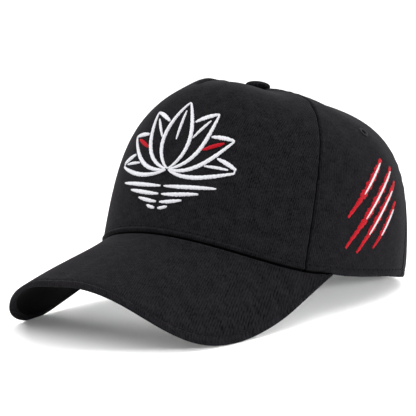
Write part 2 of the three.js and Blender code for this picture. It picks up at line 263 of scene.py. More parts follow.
def rim_plan(azimuth, inset=0.0):
    """The rim in plan at those azimuths, in radians, moved inwards by inset."""
    side = np.sin(azimuth)
    ahead = np.cos(azimuth)
    reach = np.where(ahead > 0, rim["front"], rim["rear"])
    n = rim["squareness"]
    radius = (np.abs(side / rim["half_width"]) ** n + np.abs(ahead / reach) ** n) ** (-1 / n)
    x = radius * side
    y = -radius * ahead
    if inset:
        x_after, y_after = rim_plan(azimuth + 0.002)
        x_before, y_before = rim_plan(azimuth - 0.002)
        length = np.hypot(x_after - x_before, y_after - y_before)
        x, y = x - inset * (y_after - y_before) / length, y + inset * (x_after - x_before) / length
    return x, y


def visor_sheet(x, y):
    bend = visor["bend_radius"] - np.sqrt(visor["bend_radius"] ** 2 - x * x)
    droop = visor["droop"] * (x / visor["droop_at"]) ** 4
    lift = visor["far_lift"]
    far_lift = smooth(-x / mm, *lift["start"]) * (1 - smooth(-x / mm, *lift["end"]))
    far_lift = lift["height"] * far_lift * smooth(-y / mm, *lift["ahead"])
    outward = np.hypot(x, y) - np.hypot(*rim_plan(np.arctan2(x, -y)))
    near = visor["near_fall"]
    ahead = -(y + near["middle"]) / near["span"]
    near_fall = sum(value * ahead**power for power, value in enumerate(near["powers"]))
    far = visor["far_fall"]
    far_fall = far["all"] + far["most"] * bell(y + far["middle"], far["reach"])
    fall = np.where(x < 0, far_fall, near_fall) * (x / visor["droop_at"]) ** 4
    fall = fall * smooth(outward, 0, visor["fall_start"])
    slope = math.tan(math.radians(visor["pitch"]))
    return visor["rise"] - bend - droop - fall + far_lift + slope * (y + rim["front"])


def visor_top(x, y):
    """The visor's top, with its ends drawn in to the rim."""
    end_height = visor_sheet(*rim_plan(visor_attach)) + visor["seam"]
    return visor_sheet(x, y) - end_height * smooth(np.abs(np.arctan2(x, -y)) / visor_attach, 0, 1)


def crown_base(azimuth):
    """Height of the crown's lower edge: on the visor in front, level behind."""
    on_visor = np.abs(azimuth) < visor_attach
    return np.where(on_visor, visor_top(*rim_plan(azimuth)) + visor["seam"], 0.0)


def profile_value(name, azimuth):
    """A value of the profile table at any azimuth, by the even cosine series through its rows."""
    a, b, c, d = (row[name] for row in profile)
    sixths = (a + 2 * b + 2 * c + d, 2 * (a + b - c - d), 2 * (a - b - c + d), a - 2 * b + 2 * c - d)
    return sum(sixth / 6 * np.cos(times * azimuth) for times, sixth in enumerate(sixths))


def seam_azimuth(name, up):
    row = seams[name]
    return np.radians(row["rim"] + row["drift"] * up + row["curve"] * up * up)


def crown_outer(azimuth, up):
    """Points of the crown's outer surface in the cap's own frame. up is 0 at the rim, 1 at the button."""
    rim_x, rim_y = rim_plan(azimuth)
    base = crown_base(azimuth)
    down = 1 - up
    first = 3 * down * down * up
    second = 3 * down * up * up
    rise, lean, shoulder, crest = (profile_value(name, azimuth) for name in profile[0])
    wide = down**3 + first * (1 - lean) + second * shoulder
    high = first * rise + second * (1 + crest) + up**3
    off_seam = np.abs(azimuth) - seam_azimuth("front", up)
    near_top = smooth(up, ridge["start"], ridge["full"]) * smooth(1 - up, 0, 1 - ridge["end"])
    stiff_edge = ridge["height"] * bell(off_seam, math.radians(ridge["half_angle"])) * near_top
    off_corner = azimuth - math.radians(corner["azimuth"])
    stiff_corner = corner["height"] * bell(off_corner, math.radians(corner["half_angle"]))
    stiff_corner = stiff_corner * bell(up - corner["up"], corner["half_up"])
    z = base + (crown_height - base) * high + stiff_edge + stiff_corner
    return np.stack([rim_x * wide, button_y + (rim_y - button_y) * wide, z], -1)


def unit(vectors):
    return vectors / np.linalg.norm(vectors, axis=-1, keepdims=True)


def crown_normal(azimuth, up):
    step = 0.003
    across = crown_outer(azimuth + step, up) - crown_outer(azimuth - step, up)
    climb = crown_outer(azimuth, np.minimum(up + step, 1)) - crown_outer(azimuth, np.maximum(up - step, 0))
    return unit(np.cross(across, climb))


def to_row(points):
    """From the cap's own frame, with its rim level, to the frame in which it leans back on the floor."""
    tilt = math.radians(rest["tilt"])
    x, y, z = np.moveaxis(np.asarray(points, dtype=float), -1, 0)
    leaned_y = y * math.cos(tilt) + z * math.sin(tilt) + rest["back"]
    leaned_z = z * math.cos(tilt) - y * math.sin(tilt) + rest["rise"]
    return np.stack([x, leaned_y, leaned_z], -1)


def on_crown(azimuth, up):
    """Points on the crown and the directions out of it, in the row's frame."""
    points = crown_outer(azimuth, up)
    placed = to_row(points)
    return placed, to_row(points + crown_normal(azimuth, up)) - placed


def running_length(points, axis):
    """Distance along a grid's lines, starting from 0."""
    steps = np.linalg.norm(np.diff(points, axis=axis), axis=-1)
    return np.insert(np.cumsum(steps, axis=axis), 0, 0, axis=axis)


def grid_faces(rows, columns, around=False, round_rows=False):
    """Quads of a grid whose vertices are numbered row by row. around closes each row on itself."""
    down = np.arange(rows if round_rows else rows - 1)
    across = np.arange(columns if around else columns - 1)
    j, i = (part.ravel() for part in np.meshgrid(down, across, indexing="ij"))
    below = ((j + 1) % rows) * columns
    after = (i + 1) % columns
    return list(np.stack([j * columns + i, j * columns + after, below + after, below + i], -1))


def tube_faces(rows, columns, flip=False):
    """Quads of a tube whose rows are its sections, with a face over each end."""
    ends = [np.arange(columns)[::-1], (rows - 1) * columns + np.arange(columns)]
    faces = grid_faces(rows, columns, around=True) + ends
    return [face[::-1] for face in faces] if flip else faces


def turns(count):
    """Angles spread evenly round a circle."""
    return np.linspace(0, 2 * math.pi, count, endpoint=False)


def build_mesh(name, parts, material, replaced=()):
    """One shaded object from parts of vertices, faces and UV, riding on the cap in place of CAD nodes."""
    vertices = np.concatenate([part[0].reshape(-1, 3) for part in parts])
    uv = np.concatenate([part[2].reshape(-1, 2) for part in parts])
    faces = []
    start = 0
    for part in parts:
        faces += [(face + start).tolist() for face in part[1]]
        start += part[0].size // 3
    mesh = bpy.data.meshes.new(name)
    mesh.from_pydata(vertices.tolist(), [], faces)
    layer = mesh.uv_layers.new(name="cloth")
    corner_vertices = np.zeros(len(mesh.loops), dtype=int)
    mesh.loops.foreach_get("vertex_index", corner_vertices)
    layer.data.foreach_set("uv", uv[corner_vertices].astype(float).ravel())
    mesh.shade_smooth()
    mesh.set_sharp_from_angle(angle=math.radians(smooth_below))
    mesh.materials.append(material)
    piece = into_scene(name, mesh)
    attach(piece, "root")
    if replaced:
        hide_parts(*replaced)
    return piece


def wall_part(outer, inner, uv):
    """A closed wall between an outer and an inner grid of points."""
    rows, columns = outer.shape[:2]
    count = rows * columns
    faces = grid_faces(rows, columns)
    faces += [face[::-1] + count for face in faces]
    numbers = np.arange(count).reshape(rows, columns)
    for line in (numbers[0, :], numbers[:, -1], numbers[-1, ::-1], numbers[::-1, 0]):
        a = line[:-1]
        b = line[1:]
        faces += list(np.stack([b, a, a + count, b + count], -1))
    return np.stack([outer, inner]), faces, np.stack([uv, uv])


def wave_scale(pitch):
    """The scale at which a wave texture's bands have that pitch."""
    return math.pi / 10 / pitch


def cotton_twill(name, rib_angle, dark="#030304", light="#212023", bloom=0.12):
    """Steep diagonal ribs broken by the cross threads, over a soft mottled black with a little lint and a
    faint bloom of fibre at grazing angles. Shade is painted in, towards near black, where the mesh's crease
    attribute says."""
    material, tree, shader = new_material(name)
    cloth = node(tree, "UVMap", uv_map="cloth")
    turned = node(tree, "Mapping", {"Vector": cloth, "Rotation": (0, 0, math.radians(rib_angle))})
    rib_values = {"Scale": wave_scale(twill_pitch), "Distortion": 1.5, "Detail": 2.0, "Detail Scale": 1.5}
    rib = node(tree, "TexWave", {"Vector": turned} | rib_values, 1)
    long_way = (1 / streak["wide"], 1 / streak["long"], 1)
    drawn_out = node(tree, "Mapping", {"Vector": turned, "Scale": long_way})
    yarn = node(tree, "TexNoise", {"Vector": drawn_out, "Scale": 1.0, "Detail": 2.0})
    lint_values = {"Scale": 1 / lint_size, "Detail": 3.0, "Roughness": 0.7}
    lint = node(tree, "TexNoise", {"Vector": cloth} | lint_values)
    mottle_values = {"Scale": 1 / mottle_size, "Detail": 5.0, "Roughness": 0.6}
    mottle = node(tree, "TexNoise", {"Vector": cloth} | mottle_values)
    relief = 0.0
    for texture, weight in ((rib, 0.3), (yarn, 1.1), (lint, 1.1)):
        relief = node(tree, "Math", {0: texture, 1: weight, 2: relief}, operation="MULTIPLY_ADD")
    tone = node(tree, "Math", {0: mottle, 1: 0.8, 2: relief}, operation="MULTIPLY_ADD")
    share = node(tree, "MapRange", {"Value": tone, "From Min": 1.26, "From Max": 2.01})
    woven = node(tree, "Mix", {0: share, 6: linear(dark), 7: linear(light)}, 2, data_type="RGBA")
    # Painted shade: the crease attribute darkens the colour towards near black
    crease_shade = node(tree, "Attribute", output="Fac", attribute_name="crease_shade")
    colour = node(tree, "Mix", {0: crease_shade, 6: woven, 7: linear("#010101")}, 2, data_type="RGBA")
    bump = node(tree, "Bump", {"Strength": 0.5, "Distance": 0.15 * mm, "Height": relief})
    feed(tree, shader, {"Base Color": colour, "Normal": bump, "Roughness": 0.92, "Specular IOR Level": 0.05})
    feed(tree, shader, {"Sheen Weight": bloom, "Sheen Roughness": 0.35, "Sheen Tint": linear("#8a8890")})
    return material


def hang_at(azimuth, height):
    """How far the soft hem hangs above or below level there."""
    hang = np.interp(np.degrees(np.abs(azimuth)), hem_hang["azimuth"], hem_hang["height"]) * mm
    return hang * (1 - smooth(height, 0, hem_hang["fade"]))


def fold_depth(azimuth, up, points):
    """How far the cloth sinks in along the fold."""
    off_fold = azimuth - np.radians(np.interp(up, fold["up"], fold["azimuth"]))
    away = off_fold * np.hypot(points[..., 0], points[..., 1] - button_y)
    shown = smooth(up, *fold["start"]) * (1 - smooth(up, *fold["end"]))
    return fold["depth"] * shown * bell(away, np.where(away > 0, fold["near_reach"], fold["far_reach"]))


def swell(azimuth, up, phase):
    """Slow uneven swelling of soft cloth, between -1 and 1."""
    waves = [(5, 7, 0.0), (9, 5, 1.7), (3, 13, 4.1), (14, 11, 2.6)]
    return sum(np.sin(a * azimuth + b * up + shift + phase) for a, b, shift in waves) / len(waves)


def column_shares(row):
    """How a panel's columns are spread from one seam to the other, closer at the seams. On a back panel
    they follow the arch, evenly round its curve."""
    share = np.linspace(0, 1, row["columns"])
    spread = 0.4 * share + 0.6 * (1 - np.cos(np.pi * share)) / 2
    if "back" not in row["name"]:
        return spread
    azimuths = np.radians(np.linspace(120, 180, 601))
    x = rim_plan(azimuths)[0]
    side = seam_azimuth("side", 0)
    arch_count = int(row["columns"] * arch["share"])
    theta = np.linspace(0, math.pi / 2, arch_count)
    in_arch = np.interp(-arch["half_width"] * np.cos(theta), -x, azimuths)
    outside = side + (in_arch[0] - side) * np.linspace(0, 1, row["columns"] - arch_count + 1)[:-1] ** 1.3
    shares = (np.concatenate([outside, in_arch]) - side) / (math.pi - side)
    return shares if row["from"][0] == "side" else (1 - shares)[::-1]


def panel_azimuth(row, up, share):
    """The azimuth in a panel at that share of the way from one of its seams to the other."""
    start, end = (side * seam_azimuth(name, up) for name, side in (row["from"], row["to"]))
    return start + (end - start) * share


def arch_start(row, across):
    """How far up each column leaves the arch. It is 0 for a column beside it."""
    ups = np.linspace(0, 0.6, 400)
    x, _, z = crown_outer(panel_azimuth(row, ups, across[:, None]), ups).transpose(2, 0, 1)
    past_arch = (x / arch["half_width"]) ** 2 + (z / arch["height"]) ** 2 - 1
    return np.array([np.interp(0, column, ups) for column in past_arch])


def punch(panel, row):
    """Cuts an eyelet's hole through a panel."""
    centre, outward = on_crown(np.radians(row["azimuth"]), row["up"])
    angles = turns(punch_sides)
    circle = np.stack([np.cos(angles), np.sin(angles), 0 * angles], -1) * eyelet_hole
    depth = np.array([0, 0, 4 * wall])
    mesh = bpy.data.meshes.new("punch")
    faces = [face.tolist() for face in tube_faces(2, punch_sides)]
    mesh.from_pydata(np.concatenate([circle - depth, circle + depth]).tolist(), [], faces)
    tool = into_scene("punch", mesh)
    turn = Vector(outward).to_track_quat("Z", "Y").to_matrix().to_4x4()
    tool.matrix_world = Matrix.Translation(Vector(centre)) @ turn
    cut = panel.modifiers.new("eyelet_hole", "BOOLEAN")
    cut.object = tool
    cut.operation = "DIFFERENCE"
    bpy.context.view_layer.update()
    cut_mesh = bpy.data.meshes.new_from_object(panel.evaluated_get(bpy.context.evaluated_depsgraph_get()))
    panel.modifiers.clear()
    panel.data = cut_mesh
    bpy.data.objects.remove(tool)


def paint(piece, material, faces):
    """Gives another material to the faces whose numbers are marked."""
    piece.data.materials.append(material)
    for number in np.flatnonzero(faces):
        piece.data.polygons[int(number)].material_index = len(piece.data.materials) - 1


panel_twill = cotton_twill("crown_cotton_twill", rib_angle=3)
# Painted shade: the same twill as a flat deep black with little sheen, where it is turned away from the
# light, in seams and under the visor
shaded_twill = cotton_twill("painted_shade_cotton_twill", -22, dark="#010101", light="#060607", bloom=0.03)
# Painted shade in the fold: the same twill with almost no sheen, where the fibres' bloom gets no light
crease_shade_twill = cotton_twill("crease_shade_cotton_twill", rib_angle=3, bloom=0.01)
cloth_points = []
cloth_faces = []
for count, row in enumerate(panels):
    across = column_shares(row)
    bottom = arch_start(row, across) if "back" in row["name"] else np.zeros(len(across))
    climb = np.linspace(0, 1, panel_rows)[:, None] ** row_crowding
    up = bottom + (crown_reach - bottom) * climb
    azimuth = panel_azimuth(row, up, across)
    plain = crown_outer(azimuth, up)
    normal = crown_normal(azimuth, up)
    along = running_length(plain, 1)
    height = running_length(plain, 0)
    from_seam = np.minimum(along, along[:, -1:] - along)
    on_visor = smooth(math.radians(visor_tuck["end"]) - np.abs(azimuth), 0, visor_tuck["fade"])
    sunk = seam_groove["depth"] * bell(from_seam, seam_groove["reach"])
    sunk += visor_tuck["depth"] * on_visor * bell(height, visor_tuck["reach"])
    sunk -= visor_lip["swell"] * on_visor * bell(height - visor_lip["height"], visor_lip["reach"])
    sunk += rim_roll["depth"] * (1 - on_visor) * bell(height, rim_roll["reach"])
    sunk += hem_line["depth"] * bell(height - hem_line["height"], hem_line["reach"])
    if row["name"] == "front_panel":
        folded = fold_depth(azimuth, up, plain)
        sunk += folded
    away = smooth(from_seam, 0, soft_swell["reach"]) * smooth(height, 0, soft_swell["reach"])
    lift = soft_swell["height"] * row["soft"] * away * swell(azimuth, up, count)
    waves = np.sin(height / pucker["pitch"] + 3 * np.sin(height * pucker["waver"]))
    lift += pucker["height"] * bell(from_seam, pucker["reach"]) * waves
    outer = plain + normal * (lift - sunk)[..., None]
    inner = plain - normal * np.maximum(wall, sunk + thinnest)[..., None]
    hang = hang_at(azimuth, height)
    outer[..., 2] += hang
    inner[..., 2] += hang
    dip = (visor["seam"] + edge_dip) * on_visor[0]
    outer[0, :, 2] -= dip
    inner[0, :, 2] = outer[0, :, 2]
    uv = np.stack([along - along[:, -1:] / 2, height + plain[:1, :, 2] * (bottom > 0)], -1)
    outer = to_row(outer)
    part = wall_part(outer, to_row(inner), uv)
    panel = build_mesh(row["name"] + "_cloth", [part], panel_twill, [row["name"]])
    if row["name"] == "front_panel":
        # Painted shade: the fold's depth, as a share of its deepest, darkens the cloth's colour there
        crease_shade = panel.data.attributes.new("crease_shade", "FLOAT", "POINT")
        crease_shade.data.foreach_set("value", np.tile((fold["shade"] * folded / fold["depth"]).ravel(), 2))
        paint(panel, crease_shade_twill, folded[:-1, :-1] > fold["shade_from"] * fold["depth"])
    # Painted shade: a narrow near-black strip along each seam and along the foot of the crown on the visor
    away_from_light = (height < seam_shade_width) & (on_visor > 0.5)
    in_seam_shade = np.maximum(from_seam[:-1, :-1], from_seam[:-1, 1:]) < seam_shade_width
    paint(panel, shaded_twill, away_from_light[:-1, :-1] | in_seam_shade)
    for hole in eyelets:
        if hole["name"] == "eyelet_" + row["name"].replace("_panel", ""):
            punch(panel, hole)
    start = sum(len(points) for points in cloth_points)
    cloth_faces += [(face + start).tolist() for face in grid_faces(*outer.shape[:2])]
    cloth_points.append(outer.reshape(-1, 3))
crown_cloth = BVHTree.FromPolygons(np.concatenate(cloth_points).tolist(), cloth_faces)

# Visor
# A curved plastic board covered on both sides in the same twill, its outer edge turned over a bead and
# topstitched. Its inner edge is tucked under the crown and sewn to the sweatband.
visor_length = 61.2 * mm
side_handle = {"x": 85.1 * mm, "back": 118.6 * mm}
tip_handle = 73.8 * mm
board = 3.0 * mm
bead = 3.5 * mm
end_thickness = 0.6 * mm
end_taper = 0.13
bead_reach = (2 * mm, 7 * mm)
edge_radius = 1.3 * mm
visor_columns = 260
visor_rows = 70
visor_crowding = 1.7  # over 1, the rows lie closer near the edge
tuck_under = 4.0 * mm
bead_columns = 15  # how many of the underside's columns the turned-over top cloth takes; the rest is painted in shade
edge_line = {"inset": 2.7 * mm, "depth": 0.4 * mm, "reach": 0.8 * mm}


def visor_outline(share):
    """The visor's outer edge in plan, from its left end at 0, round the tip, to its right end at 1."""
    end_x, end_y = rim_plan(visor_attach)
    tip_y = -rim["front"] - visor_length
    side = (side_handle["x"], end_y - side_handle["back"])
    t = np.linspace(0, 1, 401)
    weights = np.stack([(1 - t) ** 3, 3 * (1 - t) ** 2 * t, 3 * (1 - t) * t * t, t**3], -1)
    curve = weights @ np.array([(end_x, end_y), side, (tip_handle, tip_y), (0, tip_y)])
    length = running_length(curve, 0)
    at = (1 - np.abs(1 - 2 * share)) * length[-1]
    sign = np.where(share < 0.5, 1.0, -1.0)
    return sign * np.interp(at, length, curve[:, 0]), np.interp(at, length, curve[:, 1])


def visor_skin(share, out):
    """The visor's top and bottom, in the row's frame: share runs round its edge, out from rim to edge."""
    rim_x, rim_y = rim_plan(visor_attach * (1 - 2 * share))
    edge_x, edge_y = visor_outline(share)
    x = rim_x + (edge_x - rim_x) * out
    y = rim_y + (edge_y - rim_y) * out
    from_edge = np.hypot(edge_x - rim_x, edge_y - rim_y) * (1 - out)
    full = board + (bead - board) * (1 - smooth(from_edge, *bead_reach))
    thickness = end_thickness + (full - end_thickness) * smooth(np.minimum(share, 1 - share), 0, end_taper)
    radius = np.minimum(edge_radius, thickness / 2)
    rounding = radius - np.sqrt(np.maximum(radius**2 - np.maximum(radius - from_edge, 0) ** 2, 0))
    line = edge_line["depth"] * bell(from_edge - edge_line["inset"], edge_line["reach"])
    top = np.stack([x, y, visor_top(x, y) - rounding - line], -1)
    bottom = top.copy()
    bottom[..., 2] -= thickness - 2 * rounding - 2 * line
    return top, bottom


outwards = 1 - (1 - np.linspace(0, 1, visor_rows)) ** visor_crowding
share, out = np.meshgrid(np.linspace(0, 1, visor_columns), outwards, indexing="ij")
top, bottom = visor_skin(share, out)
loop = np.concatenate([top[:, :1], top, bottom[:, ::-1], bottom[:, :1]], 1)
tucked = rim_plan(visor_attach * (1 - 2 * share[:, :1]), tuck_under)
loop[:, [0, -1], :2] = np.stack(tucked, -1)
visor_twill = cotton_twill("visor_cotton_twill", rib_angle=-22)
fall = visor_top(loop[..., 0], loop[..., 1]) - loop[..., 2]
uv = np.stack([loop[..., 0], loop[..., 1] - fall], -1)
part = (to_row(loop), tube_faces(*loop.shape[:2], flip=True), uv)
visor_piece = build_mesh("visor_cloth", [part], visor_twill, ["visor"])
numbers = np.arange(len(visor_piece.data.polygons))
# Painted shade over the visor's underside, beyond the turned-over top cloth
paint(visor_piece, shaded_twill, numbers % loop.shape[1] > visor_rows + bead_columns)

# Topstitching
# Lockstitch in black polyester thread: along the crown's hem, round the arch and along the visor's edge.
# Each stitch is a raised bead of thread whose ends dive into the cloth. On the hem, small sunk beads of
# painted shade stand for the needle holes.
stitch = {"start": 0.0, "long": 4.0 * mm, "gap": 1.1 * mm, "thick": 0.24 * mm, "proud": 0.04 * mm}
needle_hole = {"start": 3.9 * mm, "long": 1.3 * mm, "gap": 3.8 * mm, "thick": 0.7 * mm, "proud": -0.42 * mm}
arch_margin = 5.0 * mm
ply_pitch = 0.35 * mm


def up_at(azimuth, height):
    """How far up the crown's section those heights above its lower edge lie."""
    ups = np.linspace(0, 0.6, 121)
    azimuth, height = np.broadcast_arrays(azimuth, height)
    found = []
    for one_azimuth, one_height in zip(azimuth.ravel(), height.ravel()):
        rise = crown_outer(one_azimuth, ups)[:, 2]
        found.append(np.interp(one_height, rise - rise[0], ups))
    return np.array(found).reshape(azimuth.shape)


def land(points, outward, start=8 * mm):
    """Points dropped against outward onto the crown's cloth as it really lies there."""
    landed = []
    for point, direction in zip(points.reshape(-1, 3), outward.reshape(-1, 3)):
        way = Vector(direction)
        hit = crown_cloth.ray_cast(Vector(point) + way * start, -way, 2 * start)[0]
        landed.append(hit or point)
    return np.array(landed, dtype=float).reshape(points.shape)


def at_lengths(points, length, places):
    """The points of a path at those distances along it."""
    return np.stack([np.interp(places, length, points[:, axis]) for axis in range(3)], -1)


def stitch_parts(path, outward, row):
    """A bead of thread for each stitch along a path, or of shadow for each needle hole."""
    length = running_length(path, 0)
    starts = np.arange(row["start"], length[-1] - row["long"], row["long"] + row["gap"])
    along = np.array([-1, -0.75, -0.3, 0.3, 0.75, 1])
    places = starts[:, None] + row["long"] * (along + 1) / 2
    centres = at_lengths(path, length, places)
    up = unit(at_lengths(outward, length, places))
    side = unit(np.cross(up, unit(np.gradient(centres, axis=1))))
    angle = turns(6)
    radius = row["thick"] * np.sqrt(1 - 0.92 * along**4)
    centres = centres + up * (row["proud"] - 0.1 * mm * along**4)[:, None]
    ring = side[:, :, None] * np.cos(angle)[:, None] + up[:, :, None] * np.sin(angle)[:, None]
    beads = centres[:, :, None] + ring * radius[:, None, None]
    uv = np.stack(np.broadcast_arrays(places[..., None], angle * row["thick"]), -1)
    faces = tube_faces(len(along), len(angle), flip=True)
    return [(bead, faces, bead_uv) for bead, bead_uv in zip(beads, uv)]


# Twisted polyester: a painted glint along each ply, over a slightly lighter black than the cloth
thread, tree, shader = new_material("black_polyester_thread")
cloth = node(tree, "UVMap", uv_map="cloth")
along_ply = {"Vector": cloth, "Scale": wave_scale(ply_pitch)}
ply = node(tree, "TexWave", along_ply, 1, bands_direction="DIAGONAL")
colour = node(tree, "Mix", {0: ply, 6: linear("#060608"), 7: linear("#131215")}, 2, data_type="RGBA")
bump = node(tree, "Bump", {"Strength": 0.4, "Distance": 0.08 * mm, "Height": ply})
feed(tree, shader, {"Base Color": colour, "Normal": bump, "Roughness": 0.85, "Specular IOR Level": 0.1})

hem_azimuth = np.radians(np.linspace(-155, 155, 700))
hem_points, hem_outward = on_crown(hem_azimuth, up_at(hem_azimuth, hem_line["height"]))
ways = to_row([[0, 0, 0], [0, 1, 0], [0, 0, 1]])
backward, upward = ways[1:] - ways[0]
hem_points = land(hem_points + hang_at(hem_azimuth, hem_line["height"])[:, None] * upward, hem_outward)

theta = np.linspace(0.02, math.pi - 0.02, 160)
arch_x = (arch["half_width"] + arch_margin) * np.cos(theta)
arch_z = (arch["height"] + arch_margin) * np.sin(theta)
arch_points = to_row(np.stack([arch_x, np.full(len(theta), rim["rear"]), arch_z], -1))
arch_outward = np.tile(backward, (len(theta), 1))
arch_points = land(arch_points, arch_outward, 60 * mm)

edge_share = np.linspace(0.02, 0.98, 400)
edge_x, edge_y = visor_outline(edge_share)
rim_x, rim_y = rim_plan(visor_attach * (1 - 2 * edge_share))
edge_out = 1 - edge_line["inset"] / np.hypot(edge_x - rim_x, edge_y - rim_y)
shown = edge_out > 0.1
edge_top, edge_bottom = (to_row(skin) for skin in visor_skin(edge_share[shown], edge_out[shown]))
edge_upward = np.tile(upward, (len(edge_top), 1))

crown_parts = stitch_parts(hem_points, hem_outward, stitch) + stitch_parts(arch_points, arch_outward, stitch)
build_mesh("crown_topstitching", crown_parts, thread)
# Painted shade for the needle holes: sunk beads of the shaded black twill
hole_parts = stitch_parts(hem_points, hem_outward, needle_hole)
build_mesh("hem_needle_hole_shade", hole_parts, shaded_twill)
visor_parts = stitch_parts(edge_top, edge_upward, stitch) + stitch_parts(edge_bottom, -edge_upward, stitch)
build_mesh("visor_topstitching", visor_parts, thread)

# Top button
# A small pressed metal button covered in the same twill, gathered under its rim, and riveted through the
# point where the five panels meet.
button_lean = 1.0
button_seat = 110.9 * mm
button_section = {  # the gathered cloth under the button, then its dome, in millimetres
    "radius": (6.0, 6.0, 6.5, 7.2, 7.7, 7.8, 7.65, 7.3, 6.6, 5.5, 4.3, 2.9, 1.5, 0.4),
    "height": (-5.0, -1.0, -0.9, -0.5, 0.45, 0.9, 1.4, 1.9, 2.4, 2.9, 3.25, 3.5, 3.65, 3.7),
}
gathers = {"count": 15, "share": 0.018, "middle": 0.3 * mm, "reach": 1.2 * mm}
angles = turns(96)
radius, height = (np.array(column)[:, None] * mm for column in button_section.values())
gathered = bell(height - gathers["middle"], gathers["reach"]) * (radius > 3 * mm)
radius = radius * (1 + gathers["share"] * np.cos(gathers["count"] * angles) * gathered)
x = radius * np.cos(angles)
y = radius * np.sin(angles)
lean = math.radians(button_lean)
back = button_y + y * math.cos(lean) + height * math.sin(lean)
high = button_seat + height * math.cos(lean) - y * math.sin(lean)
part = (to_row(np.stack([x, back, high], -1)), tube_faces(*x.shape), np.stack([x, y], -1))
button_twill = cotton_twill("button_cotton_twill", rib_angle=30)
build_mesh("top_button_cover", [part], button_twill, ["top_button"])

# Eyelets
# Four round holes overcast with black embroidery thread, two in the side panels and two in the back ones.
# The ring of satin stitch stands a little proud of the cloth.
ring_radius = 3.6 * mm
ring_stitches = 34
ring_height = 0.45 * mm
ring_proud = 0.15 * mm
satin_pitch = 0.8 * mm  # a real thread is half this, and too fine to show
fray_size = 0.833 * mm


def embroidery_thread(name, dark, light, roughness, glint):
    """Rayon embroidery thread: filaments laid side by side, each with a painted highlight along it and
    painted shade in the soft gap between.
    """
    material, tree, shader = new_material(name)
    cloth = node(tree, "UVMap", uv_map="cloth")
    side_by_side = {"Scale": wave_scale(satin_pitch), "Distortion": 0.6, "Detail": 1.0}
    filament = node(tree, "TexWave", {"Vector": cloth} | side_by_side, 1)
    fray = node(tree, "TexNoise", {"Vector": cloth, "Scale": 1 / fray_size, "Detail": 2.0})
    laid = node(tree, "Math", {0: fray, 1: 0.5, 2: filament}, operation="MULTIPLY_ADD")
    share = node(tree, "MapRange", {"Value": laid, "From Min": 0.1, "From Max": 0.9})
    # The filament waves paint a highlight along each filament and shade between them
    colour = node(tree, "Mix", {0: share, 6: linear(dark), 7: linear(light)}, 2, data_type="RGBA")
    bump = node(tree, "Bump", {"Strength": 0.5, "Distance": 0.12 * mm, "Height": laid})
    feed(tree, shader, {"Base Color": colour, "Normal": bump, "Roughness": roughness})
    feed(tree, shader, {"Specular IOR Level": 0.15, "Sheen Weight": glint})
    return material


eyelet_thread = embroidery_thread("black_embroidery_thread", "#09090a", "#17171a", 0.8, 0.04)
for row in eyelets:
    centre, outward = on_crown(np.radians(row["azimuth"]), row["up"])
    centre = land(centre, outward)
    across = unit(np.cross(outward, [0, 0, 1]))
    climb = np.cross(outward, across)
    angles = turns(ring_stitches * 6)[:, None]
    turn = turns(12)
    ridge_of_thread = 1 + 0.05 * np.cos(ring_stitches * angles)
    half = (ring_radius - eyelet_hole) / 2
    radius = eyelet_hole + half * (1 + np.cos(turn) * ridge_of_thread)
    height = ring_height * np.sin(turn) * ridge_of_thread + ring_proud
    ring = centre + outward * height[..., None]
    ring = ring + across * (radius * np.cos(angles))[..., None]
    ring = ring + climb * (radius * np.sin(angles))[..., None]
    uv = np.stack(np.broadcast_arrays(angles * ring_radius, turn * half), -1)
    faces = grid_faces(*ring.shape[:2], around=True, round_rows=True)
    build_mesh(row["name"] + "_ring", [(ring, faces, uv)], eyelet_thread, [row["name"]])

# Sweatband
# A strip of black cotton folded over a thin foam core, 32 mm high, sewn inside the rim from one end of the
# arch to the other.
band_azimuth = np.radians(np.linspace(-148, 148, 300))
band = {"low": 2.8 * mm, "high": 32 * mm, "thick": 1.0 * mm, "wrinkle": 0.2 * mm}
band_depth = 2.05 * mm  # how far inside the crown's outer face the band and the strap are sewn


def band_part(azimuth, row):
    """A soft strip inside the crown between two heights, as a closed tube with rounded edges."""
    angle = turns(48)
    round_in = np.sign(np.sin(angle)) * np.abs(np.sin(angle)) ** 0.3
    level = (1 - np.sign(np.cos(angle)) * np.abs(np.cos(angle)) ** 0.8) / 2
    azimuth = azimuth[:, None]
    height = row["low"] + (row["high"] - row["low"]) * level
    up = up_at(azimuth, height)
    waves = np.sin(azimuth * 31 + 2 * np.sin(azimuth * 7)) * np.sin(math.pi * level) * (round_in > 0)
    inward = band_depth + row["thick"] * (1 + round_in) / 2 + row["wrinkle"] * waves
    points = crown_outer(azimuth, up) - crown_normal(azimuth, up) * inward[..., None]
    points[..., 2] += hang_at(azimuth, height)
    along = np.broadcast_to(running_length(points, 0)[:, :1], up.shape)
    uv = np.stack([along, np.broadcast_to(height, up.shape)], -1)
    return to_row(points), tube_faces(*up.shape), uv


band_cotton = cotton_twill("sweatband_cotton", rib_angle=45, dark="#141315", light="#222124")
part = band_part(band_azimuth, band)
build_mesh("sweatband_cotton", [part], band_cotton, ["sweatband"])

# Back strap and clasp
# A strap of doubled twill, sewn inside the back panels, closes the arch. It is stitched along both edges
# and runs through a flat sleeve of blackened steel.
strap_azimuth = np.radians(np.linspace(154, 206, 80))
strap = {"low": 4.5 * mm, "high": 23.5 * mm, "thick": 1.8 * mm, "wrinkle": 0.0}
strap_seam = 2.2 * mm
brush_mark = {"long": 5 * mm, "wide": 0.25 * mm}
part = band_part(strap_azimuth, strap)
build_mesh("back_strap_cloth", [part], panel_twill, ["back_strap"])
strap_parts = []
for height in (strap["low"] + strap_seam, strap["high"] - strap_seam):
    points, outward = on_crown(strap_azimuth, up_at(strap_azimuth, height))
    strap_parts += stitch_parts(points - outward * band_depth, outward, stitch)
build_mesh("strap_topstitching", strap_parts, thread)

